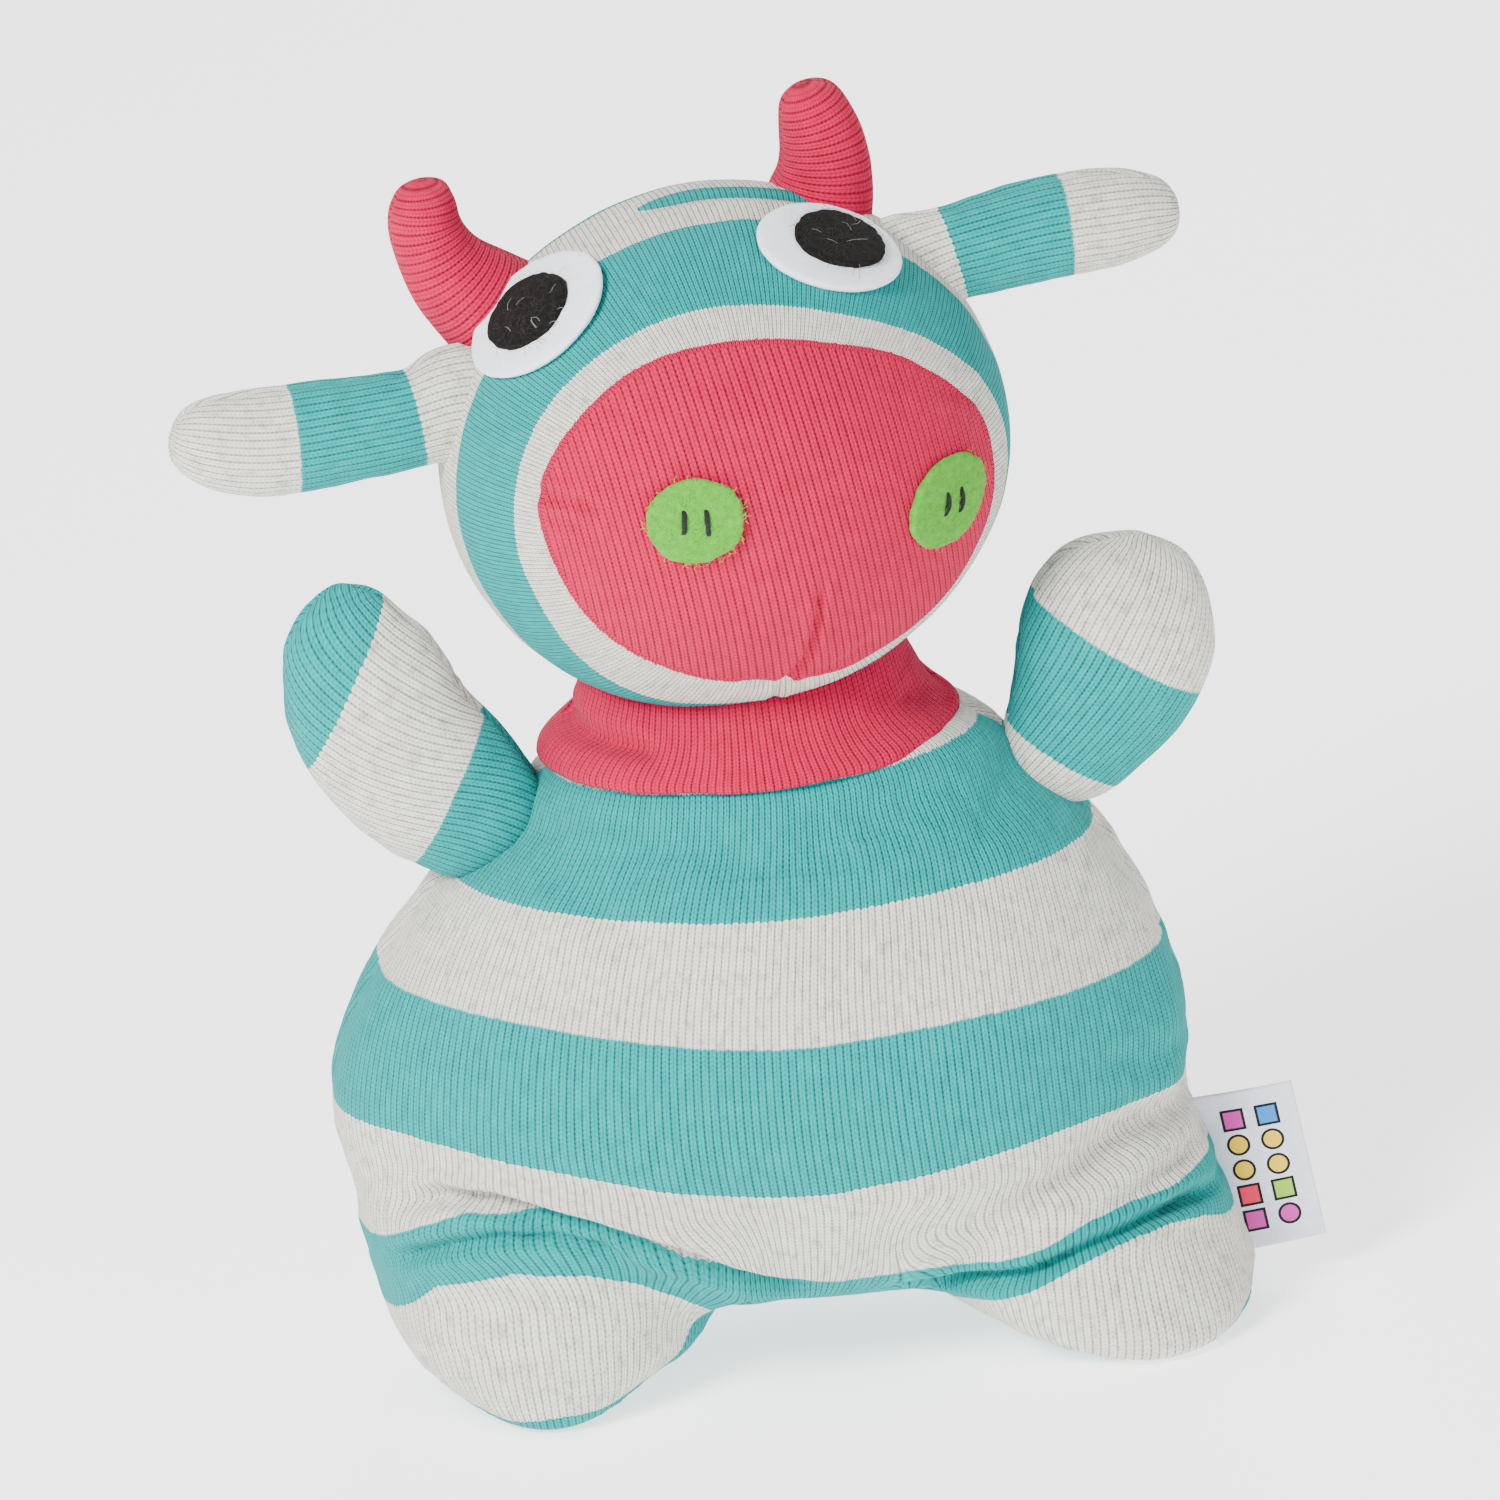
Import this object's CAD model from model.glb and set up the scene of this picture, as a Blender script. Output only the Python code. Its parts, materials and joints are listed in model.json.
import json
import math
import bpy
import numpy as np
from mathutils import Matrix, Vector
from mathutils.kdtree import KDTree


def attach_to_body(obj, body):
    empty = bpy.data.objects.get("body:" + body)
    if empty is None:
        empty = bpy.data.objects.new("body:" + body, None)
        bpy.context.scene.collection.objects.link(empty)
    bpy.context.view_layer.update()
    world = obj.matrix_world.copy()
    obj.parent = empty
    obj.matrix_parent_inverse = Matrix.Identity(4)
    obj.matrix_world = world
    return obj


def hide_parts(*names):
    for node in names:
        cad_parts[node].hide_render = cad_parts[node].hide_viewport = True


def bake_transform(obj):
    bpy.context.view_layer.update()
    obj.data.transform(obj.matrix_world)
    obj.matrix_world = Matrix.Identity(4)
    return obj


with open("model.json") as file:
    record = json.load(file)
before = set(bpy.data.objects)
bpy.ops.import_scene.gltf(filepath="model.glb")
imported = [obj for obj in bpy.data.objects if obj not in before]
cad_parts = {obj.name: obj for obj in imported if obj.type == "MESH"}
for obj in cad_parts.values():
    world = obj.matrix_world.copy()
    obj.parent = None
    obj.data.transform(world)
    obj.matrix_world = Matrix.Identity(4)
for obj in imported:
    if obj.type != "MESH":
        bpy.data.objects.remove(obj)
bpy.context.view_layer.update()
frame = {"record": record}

# Lengths below are millimetres, in the frame of the record, until a mesh is made.
MM = 0.001
PITCH = 1.72             # one rib of the knit
COURSE = 1.0             # one row of stitches
JOINT = {joint["name"]: np.array(joint["pos_m"]) / MM for joint in frame["record"]["behaviour"]["joints"]}

# ------------------------------------------------------------------ small numeric tools


LATTICES = [np.random.default_rng(seed).uniform(-1.0, 1.0, (32, 32, 32)) for seed in range(4)]


def noise(points, size, seed=0):
    """Smooth noise from -1 to 1 with features about `size` wide."""
    table = LATTICES[seed % 4]
    q = np.asarray(points, float) / size + 5.37 * seed
    base = np.floor(q).astype(int)
    f = q - base
    f = f * f * (3 - 2 * f)
    total = np.zeros(q.shape[:-1])
    for dx in (0, 1):
        for dy in (0, 1):
            for dz in (0, 1):
                corner = table[(base[..., 0] + dx) % 32, (base[..., 1] + dy) % 32, (base[..., 2] + dz) % 32]
                weight = np.abs(1 - dx - f[..., 0]) * np.abs(1 - dy - f[..., 1]) * np.abs(1 - dz - f[..., 2])
                total += corner * weight
    return total


def cubic(xs, ys, x):
    """Natural cubic spline through (xs, ys), read at x; ys may have several columns."""
    xs = np.asarray(xs, float)
    ys = np.asarray(ys, float)
    n = len(xs)
    h = np.diff(xs)
    a = np.zeros((n, n))
    a[0, 0] = a[-1, -1] = 1
    rhs = np.zeros_like(ys)
    slope = (ys[1:] - ys[:-1]) / (h if ys.ndim == 1 else h[:, None])
    for i in range(1, n - 1):
        a[i, i - 1:i + 2] = h[i - 1], 2 * (h[i - 1] + h[i]), h[i]
        rhs[i] = 6 * (slope[i] - slope[i - 1])
    m = np.linalg.solve(a, rhs)
    x = np.asarray(x, float)
    k = np.clip(np.searchsorted(xs, x) - 1, 0, n - 2)
    hk = h[k]
    t0 = xs[k + 1] - x
    t1 = x - xs[k]
    if ys.ndim > 1:
        hk, t0, t1 = hk[..., None], t0[..., None], t1[..., None]
    return (m[k] * t0 ** 3 + m[k + 1] * t1 ** 3) / (6 * hk) + (ys[k] / hk - m[k] * hk / 6) * t0 \
        + (ys[k + 1] / hk - m[k + 1] * hk / 6) * t1


def profile(points, count):
    """Evenly spaced rows along a smooth line through the control rows."""
    points = np.asarray(points, float)
    steps = np.linalg.norm(np.diff(points, axis=0), axis=1)
    along = np.concatenate([[0], np.cumsum(np.sqrt(steps))])
    fine = cubic(along, points, np.linspace(0, along[-1], 1200))
    reach = np.concatenate([[0], np.cumsum(np.linalg.norm(np.diff(fine, axis=0), axis=1))])
    at = np.linspace(0, reach[-1], count)
    return np.stack([np.interp(at, reach, fine[:, c]) for c in range(points.shape[1])], axis=1)


def smooth(low, high, x):
    """Eases from 0 at `low` to 1 at `high`, which may be the smaller one."""
    t = np.clip((np.asarray(x, float) - low) / (high - low), 0, 1)
    return t * t * (3 - 2 * t)


def normals(pts, wrap, inside):
    """Unit normals of a grid, turned so that most point away from `inside`, a point."""
    if wrap:
        padded = np.concatenate([pts[:, -1:], pts, pts[:, :1]], axis=1)
        across = (padded[:, 2:] - padded[:, :-2]) / 2
    else:
        across = np.gradient(pts, axis=1)
    along = np.gradient(pts, axis=0)
    n = np.cross(along, across)
    n /= np.maximum(np.linalg.norm(n, axis=-1, keepdims=True), 1e-9)
    return n if np.sum(n * (pts - np.asarray(inside, float))) >= 0 else -n


def line_distance(a, b, path):
    """Distance of each (a, b) from a polyline, and how far along it the nearest place is, 0 to 1."""
    path = np.asarray(path, float)
    best = np.full(a.shape, 1e9)
    where = np.zeros(a.shape)
    lengths = np.linalg.norm(np.diff(path, axis=0), axis=1)
    total = lengths.sum()
    done = 0.0
    for p, q, length in zip(path[:-1], path[1:], lengths):
        d = (q - p) / length
        t = np.clip((a - p[0]) * d[0] + (b - p[1]) * d[1], 0, length)
        dist = np.hypot(a - p[0] - d[0] * t, b - p[1] - d[1] * t)
        near = dist < best
        best = np.where(near, dist, best)
        where = np.where(near, (done + t) / total, where)
        done += length
    return best, where


def fold(a, b, path, width, depth):
    """Height change of a soft fold along a polyline: a valley with a slight swell on each side."""
    dist, where = line_distance(a, b, path)
    fade = smooth(0, 0.18, where) * smooth(1, 0.82, where)
    valley = np.exp(-(dist / width) ** 2)
    swell = np.exp(-((dist - 2.1 * width) / (1.3 * width)) ** 2)
    return depth * fade * (-valley + 0.35 * swell)


def folds(a, b, table):
    """Height change of every fold in a table of path, half width and depth."""
    return sum(fold(a, b, path, width, depth) for path, width, depth in table)


def seam_valley(t, depth, width):
    """Dip where two panels meet, at t = 0 and pi; `width` is in radians."""
    away = np.minimum(np.abs(np.sin(t)), 1)
    return -depth * np.exp(-(away / width) ** 2)


def wale_count(pts, middle):
    """Distance of each grid point along its row from the middle column."""
    steps = np.linalg.norm(np.diff(pts[..., :2], axis=1), axis=-1)
    run = np.concatenate([np.zeros((len(pts), 1)), np.cumsum(steps, axis=1)], axis=1)
    return run - run[:, middle:middle + 1]


# ------------------------------------------------------------------ meshes


def new_object(name, verts, faces, uvs, material):
    mesh = bpy.data.meshes.new(name)
    mesh.from_pydata([tuple(v) for v in np.asarray(verts, float) * MM], [], faces)
    layer = mesh.uv_layers.new(name="knit")
    layer.data.foreach_set("uv", np.asarray(uvs, np.float32).ravel())
    mesh.polygons.foreach_set("use_smooth", np.ones(len(faces), bool))
    mesh.materials.append(material)
    mesh.update()
    obj = bpy.data.objects.new(name, mesh)
    bpy.context.scene.collection.objects.link(obj)
    return obj


def grid_faces(rows, cols, wrap, flip):
    """Quads of a grid of points, and the row and column at each of their corners."""
    faces, corners = [], []
    for i in range(rows - 1):
        for j in range(cols if wrap else cols - 1):
            k = (j + 1) % cols
            quad = [(i, j), (i, k), (i + 1, k), (i + 1, j)]
            at = [(i, j), (i, j + 1), (i + 1, j + 1), (i + 1, j)]
            if flip:
                quad, at = quad[::-1], at[::-1]
            faces.append([r * cols + c for r, c in quad])
            corners.extend(at)
    return faces, corners


def cloth(name, pts, uv, material, inside, wrap=False):
    """A grid of points as one smooth cloth, with its rib coordinates in the UV map."""
    name = name + "_cloth"
    rows, cols = pts.shape[:2]
    out = np.cross(pts[1:, :-1] - pts[:-1, :-1], pts[:-1, 1:] - pts[:-1, :-1])
    facing = np.sum(out * (pts[:-1, :-1] - np.asarray(inside, float)))
    faces, corners = grid_faces(rows, cols, wrap, facing > 0)
    corners = np.asarray(corners)
    uvs = uv[corners[:, 0], corners[:, 1]]
    return new_object(name, pts.reshape(-1, 3), faces, uvs, material)


def frame_matrix(x_dir, z_dir):
    """3x3 whose columns are local X, Y and Z."""
    x, z = (np.asarray(v, float) / np.linalg.norm(v) for v in (x_dir, z_dir))
    return np.stack([x, np.cross(z, x), z], axis=1)


def attach(obj, body, node):
    """Says which body a piece rides on, which CAD node it stands for and how full it is."""
    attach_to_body(obj, body)
    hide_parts(node)


# ------------------------------------------------------------------ materials


class Graph:
    """Short words for building a node tree."""

    def __init__(self, name):
        self.material = bpy.data.materials.new(name)
        self.material.use_nodes = True
        self.tree = self.material.node_tree
        self.tree.nodes.clear()
        self.out = self.tree.nodes.new("ShaderNodeOutputMaterial")
        self.shader = self.tree.nodes.new("ShaderNodeBsdfPrincipled")
        self.tree.links.new(self.shader.outputs[0], self.out.inputs[0])

    def put(self, socket, value):
        if isinstance(value, bpy.types.NodeSocket):
            self.tree.links.new(value, socket)
        elif value is not None:
            socket.default_value = value

    def math(self, operation, a, b=None, c=None):
        node = self.tree.nodes.new("ShaderNodeMath")
        node.operation = operation
        for socket, value in zip(node.inputs, (a, b, c)):
            self.put(socket, value)
        return node.outputs[0]

    def add(self, a, b):
        return self.math("ADD", a, b)

    def sub(self, a, b):
        return self.math("SUBTRACT", a, b)

    def mul(self, a, b):
        return self.math("MULTIPLY", a, b)

    def mix(self, factor, a, b):
        node = self.tree.nodes.new("ShaderNodeMix")
        node.data_type = "RGBA"
        self.put(node.inputs[0], factor)
        self.put(node.inputs[6], a)
        self.put(node.inputs[7], b)
        return node.outputs[2]

    def uv(self):
        node = self.tree.nodes.new("ShaderNodeUVMap")
        node.uv_map = "knit"
        split = self.tree.nodes.new("ShaderNodeSeparateXYZ")
        self.tree.links.new(node.outputs[0], split.inputs[0])
        return split.outputs[0], split.outputs[1]

    def join(self, x, y, z=0.0):
        node = self.tree.nodes.new("ShaderNodeCombineXYZ")
        for socket, value in zip(node.inputs, (x, y, z)):
            self.put(socket, value)
        return node.outputs[0]

    def noise(self, vector, scale, detail=2.0, roughness=0.5):
        node = self.tree.nodes.new("ShaderNodeTexNoise")
        self.put(node.inputs["Vector"], vector)
        node.inputs["Scale"].default_value = scale
        node.inputs["Detail"].default_value = detail
        node.inputs["Roughness"].default_value = roughness
        return node.outputs[0]

    def random(self, vector):
        node = self.tree.nodes.new("ShaderNodeTexWhiteNoise")
        node.noise_dimensions = "2D"
        self.put(node.inputs["Vector"], vector)
        return node.outputs[0]

    def span(self, value, low, high, to_low=0.0, to_high=1.0):
        node = self.tree.nodes.new("ShaderNodeMapRange")
        for socket, v in zip(node.inputs, (value, low, high, to_low, to_high)):
            self.put(socket, v)
        return node.outputs[0]

    def bump(self, height, strength, distance):
        node = self.tree.nodes.new("ShaderNodeBump")
        node.inputs["Strength"].default_value = strength
        node.inputs["Distance"].default_value = distance
        self.put(node.inputs["Height"], height)
        return node.outputs[0]

    def finish(self, color, normal=None, roughness=0.9, sheen=0.3, sheen_tint=(1, 1, 1, 1)):
        s = self.shader.inputs
        self.put(s["Base Color"], color)
        self.put(s["Normal"], normal)
        s["Roughness"].default_value = roughness
        s["Specular IOR Level"].default_value = 0.08
        s["Sheen Weight"].default_value = sheen
        s["Sheen Roughness"].default_value = 0.5
        s["Sheen Tint"].default_value = sheen_tint
        return self.material


TEAL = (0.000, 0.274, 0.266, 1)
TEAL_LIGHT = (0.001, 0.370, 0.360, 1)
TEAL_DARK = (0.000, 0.032, 0.036, 1)
GREY = (0.690, 0.672, 0.590, 1)
GREY_CLOUD = (0.750, 0.735, 0.660, 1)
GREY_LIGHT = (0.840, 0.824, 0.730, 1)
GREY_DARK = (0.120, 0.120, 0.112, 1)
PINK = (0.490, 0.002, 0.045, 1)
PINK_LIGHT = (0.600, 0.004, 0.065, 1)
PINK_DARK = (0.065, 0.000, 0.003, 1)


def yarn(g, kind, u, v, seed):
    """Colour of one yarn: dyed teal or pink with slight streaks, or heather grey with mottled fibres."""
    if kind == "grey":
        flecks = g.noise(g.join(u, g.mul(v, 0.33)), 0.85, 3.0, 0.65)
        clouds = g.noise(g.join(u, g.add(v, 37.0 * seed)), 0.045)
        pale = g.noise(g.join(g.add(u, 91.0), g.mul(v, 0.4)), 0.7)
        base = g.mix(g.span(clouds, 0.3, 0.7), GREY, GREY_CLOUD)
        base = g.mix(g.mul(g.span(pale, 0.52, 0.70), 0.65), base, GREY_LIGHT)
        return g.mix(g.mul(g.span(flecks, 0.50, 0.72), 0.48), base, GREY_DARK)
    low, high = {"teal": (TEAL, TEAL_LIGHT), "pink": (PINK, PINK_LIGHT)}[kind]
    streaks = g.noise(g.join(u, g.mul(v, 0.25)), 0.9, 3.0, 0.6)
    return g.mix(g.span(streaks, 0.3, 0.75), low, high)


def stripes(g, kinds, bounds, course, u, v, seed):
    """Colour of the yarn at each course, and the shadow colour that goes with it."""
    yarns = {kind: yarn(g, kind, u, v, seed) for kind in dict.fromkeys(kinds)}
    darks = {"teal": TEAL_DARK, "grey": GREY_DARK, "pink": PINK_DARK}
    color, deep = yarns[kinds[0]], darks[kinds[0]]
    for kind, bound in zip(kinds[1:], bounds):
        above = g.math("GREATER_THAN", course, bound + 0.3)
        color = g.mix(above, color, yarns[kind])
        deep = g.mix(above, deep, darks[kind])
    return color, deep


def knit(name, kinds, bounds, seed=0):
    """Rib knit. `kinds` are the yarns from low to high course, changing at the courses in `bounds`.
    A rib is two legs of stitches: dark valleys between ribs, a light cleft between legs, a gap at each row."""
    g = Graph(name)
    u, v = g.uv()
    side = g.mul(g.math("ABSOLUTE", g.sub(g.math("FRACT", u), 0.5)), 2.0)
    stagger = g.mul(g.random(g.join(g.math("FLOOR", u), 3.0)), 0.25)
    row = g.add(g.add(g.math("DIVIDE", v, COURSE), g.mul(side, 0.5)), stagger)
    course = g.add(v, g.mul(g.add(g.mul(side, 0.35), stagger), COURSE))
    color, deep = stripes(g, kinds, bounds, course, u, v, seed)
    valley = g.math("POWER", g.span(side, 0.52, 1.0), 1.4)
    cleft = g.math("POWER", g.span(side, 0.30, 0.0), 1.6)
    stitch = g.math("ABSOLUTE", g.math("SINE", g.mul(row, math.pi)))
    gap = g.math("POWER", g.sub(1.0, stitch), 1.7)
    ladder = g.add(0.68, g.mul(gap, 0.80))
    uneven = g.span(g.noise(g.join(u, g.mul(v, 0.2)), 0.5), 0.3, 0.7, 0.72, 1.0)
    hollow = g.math("MAXIMUM", g.mul(valley, 0.96), g.mul(cleft, 0.50))
    shade = g.mul(g.math("MAXIMUM", g.mul(hollow, ladder), g.mul(gap, 0.34)), uneven)
    ridge = g.sub(g.sub(1.0, valley), g.mul(cleft, 0.35))
    height = g.add(g.mul(ridge, 0.8), g.mul(stitch, 0.22))
    height = g.add(height, g.mul(g.noise(g.join(u, v), 3.1, 2.0, 0.7), 0.25))
    return g.finish(g.mix(g.math("MINIMUM", shade, 1.0), color, deep), g.bump(height, 0.8, 0.00045), 0.95, 0.06)


# ------------------------------------------------------------------ torso and legs

# height, right edge, left edge, half depth (right and left are the doll's own)
TORSO = [(15, -60, 52, 22), (19, -80, 73, 33), (28, -91, 81, 41), (40, -95.5, 83.5, 46.5),
         (52, -98.6, 85.2, 51), (65, -100.6, 86, 53.5), (80, -97.5, 83.8, 53), (94, -90.6, 79.5, 50.5),
         (106, -81.5, 74.5, 47.5), (117, -71, 68, 44), (128, -57, 58, 40), (134, -52, 54.5, 38),
         (138, -47, 50, 36), (141.5, -41, 43, 32.5)]
TORSO_TOP = [(143.6, -35, 36, 27), (145.3, -26, 26, 19), (145.9, -8, 8, 6)]
TORSO_BOTTOM = [(13.6, -34, 27, 11), (13.3, -12, 6, 4)]
LEG = {
    "right": [(70, -88, -36, 22), (62, -95, -27, 35), (50, -98.5, -20.5, 43), (40, -97.6, -16.5, 44.3),
              (30, -96.4, -16, 45), (20, -94.9, -18.5, 45.6), (12, -92.1, -23.5, 45.8), (6, -88.4, -29.5, 45),
              (2, -83, -37, 42.6), (0.3, -78, -43, 39.4), (-0.3, -70, -50, 32), (-0.4, -62, -58, 12)],
    "left": [(52, 34, 78, 30), (42, 22, 86, 39), (32, 16, 88.8, 43.8), (22, 17, 91.4, 46),
             (14, 21.5, 93.2, 47.2), (9, 28, 94.9, 47.6), (4.5, 36.5, 94.9, 46.8), (1.5, 45, 93.8, 45),
             (0.2, 52, 91.8, 42), (-0.3, 59, 87.5, 36), (-0.4, 68, 76, 13)],
}
VOXEL = 1.15             # grain of the skin that is shown
COARSE_VOXEL = 4.5       # grain of the skin that is simulated
START_INSIDE = 1.2       # the simulated skin starts this far inside its shape
MOST_MOVE = 3.0          # the simulation moves no point further than this
FRAMES = 20
# where a leg's own cloth starts: a point on the cut and the way down along the leg
CUT = {"right": ((-53.0, 44.5), (-0.351, -0.936)), "left": ((54.0, 27.5), (0.16, -0.987))}
TOE_COURSE, FOOT_COURSE, BELT_COURSE, BELLY_COURSE = -15.0, 10.0, 27.3, 55.3
BODY_BOUNDS = [TOE_COURSE, FOOT_COURSE, BELT_COURSE, BELLY_COURSE, 86.3, 113.5, 139.0]
# lower edge of the grey belly stripe and upper edge of the grey foot, across the front
BELLY_EDGE = ([-104, -98, -84, -73, -59, -48, -37, -19, -8, 4, 17, 28, 39, 50, 58, 68, 76, 84, 92],
              [36.5, 41.5, 49.8, 54, 53.5, 49.5, 43.5, 32, 28, 26.2, 26, 26.6, 28, 31, 34.4, 36.2, 35.8,
               36.8, 37.5])
FOOT_EDGE = ([-104, -92, -82, -65, -50, -39, -31, -23, -17, -5, 15, 27, 31, 38, 45, 52, 61, 68, 75, 83, 92],
             [15, 26.5, 36.5, 40, 37.5, 33, 26, 17, 12.5, 5, 5, 13, 16, 19, 21.5, 24.6, 28, 29.4, 29.3,
              27.1, 22])
# upper edge of the teal under the sole
TOE_EDGE = ([-104, -90, -75, -58, -44, -38, -32, -27, -22, -12, 10, 24, 32, 42, 55, 70, 95],
            [-9, -4.5, 2.4, 4.8, 3.0, 4.5, 9, 14, 14, -4, 2, 10, 9.5, 5.5, 2.2, -1.0, -3])
# paths across the front (x, z), half width and depth of each fold
FOLDS = [
    ([(-93, 51), (-79, 57), (-68, 56.5), (-59, 53.7), (-48, 49.7), (-38, 45), (-28, 39.5), (-20, 33.5),
      (-9, 27.5), (2, 24)], 1.8, 4.4),
    ([(-94, 37), (-86, 43), (-78, 46.5), (-69, 48.6), (-56, 48), (-46, 44), (-38, 39)], 1.6, 3.0),
    ([(-60, 63), (-42, 57), (-26, 49)], 3.6, 1.0),
    ([(-38, 8), (-23, 16), (-10, 21.5)], 1.7, 1.3),
    ([(92, 29.5), (81, 32), (71, 32), (59, 29.8), (44, 25), (27, 21.5), (12, 19)], 1.5, 4.0),
    ([(88, 40), (76, 39), (62, 35), (46, 30.5)], 2.2, 1.8),
    ([(87, 49), (70, 50), (58, 44.5), (44, 39)], 3.2, 1.4),
    ([(86, 62), (74, 64), (64, 68)], 3.4, 0.8),
    ([(-30, 54), (-12, 47), (8, 43)], 5.0, 0.6),
    ([(-50, 128), (-36, 117), (-26, 108)], 4.5, 1.3),
    ([(52, 128), (42, 119), (34, 112)], 4.0, 0.8),
]
BACK_FOLDS = [
    ([(-92, 42), (-76, 47), (-58, 46), (-38, 38), (-20, 28)], 2.4, 2.0),
    ([(90, 36), (74, 37), (56, 33), (36, 27), (18, 22)], 2.4, 2.0),
    ([(-70, 60), (-50, 58), (-30, 50)], 3.5, 0.8),
    ([(70, 54), (52, 50), (38, 44)], 3.5, 0.8),
]


def rings(rows, count, cols=96, power=0.93):
    """Closed bag through level rings; rows are (height, low x, high x, half depth)."""
    rows = profile(sorted(rows, reverse=True), count)
    t = np.linspace(0, 2 * math.pi, cols + 1)[:-1]
    z, low, high, depth = (rows[:, k][:, None] for k in range(4))
    x = (low + high) / 2 + (high - low) / 2 * np.cos(t)
    y = depth * np.sign(np.sin(t)) * np.abs(np.sin(t)) ** power
    pts = np.stack([x, y, z * np.ones_like(x)], axis=-1)
    verts = pts.reshape(-1, 3)
    caps = [list(range(cols)), list(range(len(verts) - cols, len(verts)))[::-1]]
    return verts, grid_faces(len(rows), cols, True, False)[0] + caps


def fused(parts, voxel):
    """Points and quads of one skin round several closed bags."""
    verts, faces = [], []
    for points, corners in parts:
        start = sum(len(v) for v in verts)
        verts.append(points)
        faces += [[start + c for c in face] for face in corners]
    mesh = bpy.data.meshes.new("raw")
    mesh.from_pydata([tuple(v) for v in np.concatenate(verts) * MM], [], faces)
    obj = bpy.data.objects.new("raw", mesh)
    bpy.context.scene.collection.objects.link(obj)
    remesh = obj.modifiers.new("skin", "REMESH")
    remesh.mode = "VOXEL"
    remesh.voxel_size = voxel * MM
    made = obj.evaluated_get(bpy.context.evaluated_depsgraph_get()).to_mesh()
    pts = np.empty(len(made.vertices) * 3, np.float32)
    made.vertices.foreach_get("co", pts)
    quads = np.empty(len(made.loops), np.int32)
    made.loops.foreach_get("vertex_index", quads)
    bpy.data.objects.remove(obj)
    return pts.reshape(-1, 3).astype(float) / MM, quads.reshape(-1, 4)


def edge_pairs(quads):
    pairs = np.concatenate([quads[:, [k, (k + 1) % 4]] for k in range(4)])
    return np.unique(np.sort(pairs, axis=1), axis=0)


def relax(pts, pairs, amount, rounds):
    """Pulls each point towards the middle of its neighbours."""
    count = np.bincount(pairs.ravel(), minlength=len(pts))[:, None]
    for _ in range(rounds):
        total = np.stack([np.bincount(pairs[:, 0], part[pairs[:, 1]], len(pts))
                          + np.bincount(pairs[:, 1], part[pairs[:, 0]], len(pts)) for part in pts.T], axis=1)
        pts = pts + amount * (total / count - pts)
    return pts


def point_normals(pts, quads):
    a, b, c, d = (pts[quads[:, k]] for k in range(4))
    face = np.cross(c - a, d - b)
    total = np.stack([np.bincount(quads.ravel(), np.repeat(part, 4), len(pts)) for part in face.T], axis=1)
    return total / np.maximum(np.linalg.norm(total, axis=1, keepdims=True), 1e-9)


def settled(pts, quads, held):
    """How far the stuffing moves each point of a closed skin: a short cloth simulation under light pressure."""
    mesh = bpy.data.meshes.new("settling")
    start = pts - START_INSIDE * (1 - held[:, None]) * point_normals(pts, quads)
    mesh.from_pydata([tuple(v) for v in start * MM], [], quads.tolist())
    obj = bpy.data.objects.new("settling", mesh)
    scene = bpy.context.scene
    scene.collection.objects.link(obj)
    group = obj.vertex_groups.new(name="held")
    for index, weight in enumerate(held):
        group.add([index], float(weight), "REPLACE")
    simulation = obj.modifiers.new("settle", "CLOTH")
    simulation.collision_settings.use_self_collision = False
    settings = simulation.settings
    settings.quality = 6
    settings.mass = 0.01
    settings.tension_stiffness = settings.compression_stiffness = 8
    settings.shear_stiffness = 2
    settings.bending_stiffness = 0.3
    settings.shrink_min = -0.03
    settings.use_pressure = True
    settings.uniform_pressure_force = 4.0
    settings.effector_weights.gravity = 0
    settings.vertex_group_mass = "held"
    for number in range(1, FRAMES + 1):
        scene.frame_set(number)
    made = obj.evaluated_get(bpy.context.evaluated_depsgraph_get()).to_mesh()
    after = np.empty(len(pts) * 3, np.float32)
    made.vertices.foreach_get("co", after)
    bpy.data.objects.remove(obj)
    scene.frame_set(1)
    moved = after.reshape(-1, 3).astype(float) / MM - pts
    reach = np.linalg.norm(moved, axis=1, keepdims=True)
    return moved * np.minimum(1, MOST_MOVE / np.maximum(reach, 1e-6))


def carried(moves, coarse, fine):
    """Moves of a coarse skin read at the points of a fine one."""
    tree = KDTree(len(coarse))
    for index, point in enumerate(coarse):
        tree.insert(point, index)
    tree.balance()
    out = np.zeros_like(fine)
    for index, point in enumerate(fine):
        near = tree.find_n(point, 5)
        share = [1.0 / (distance + 0.3) ** 2 for _, _, distance in near]
        out[index] = sum(moves[k] * w for (_, k, _), w in zip(near, share)) / sum(share)
    return out


def torso_section(z):
    edges = cubic([r[0] for r in TORSO], [r[1:] for r in TORSO], np.clip(z, 46, 140))
    return (edges[..., 0] + edges[..., 1]) / 2, (edges[..., 1] - edges[..., 0]) / 2, edges[..., 2]


PLAIN_QUARTER = 122.0    # quarter of the outline of a section on which the ribs are at their own pitch


def gather(a, b):
    """How much the ribs are drawn together on an oval section."""
    return (PLAIN_QUARTER / ((a + b) * 0.785)) ** 0.55


def oval_run(x, y, cx, a, b):
    """Distance round an oval from the middle of its front to the direction of (x, y)."""
    angle = np.arctan2(np.abs(y) / b, (x - cx) / a)
    steps = np.linspace(0, 1, 25)[:, None]
    along = math.pi / 2 + (angle - math.pi / 2) * steps
    speed = np.sqrt((a * np.sin(along)) ** 2 + (b * np.cos(along)) ** 2)
    run = -np.sum((speed[1:] + speed[:-1]) / 2, axis=0) * (angle - math.pi / 2) / 24
    return run * gather(a, b)


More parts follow.
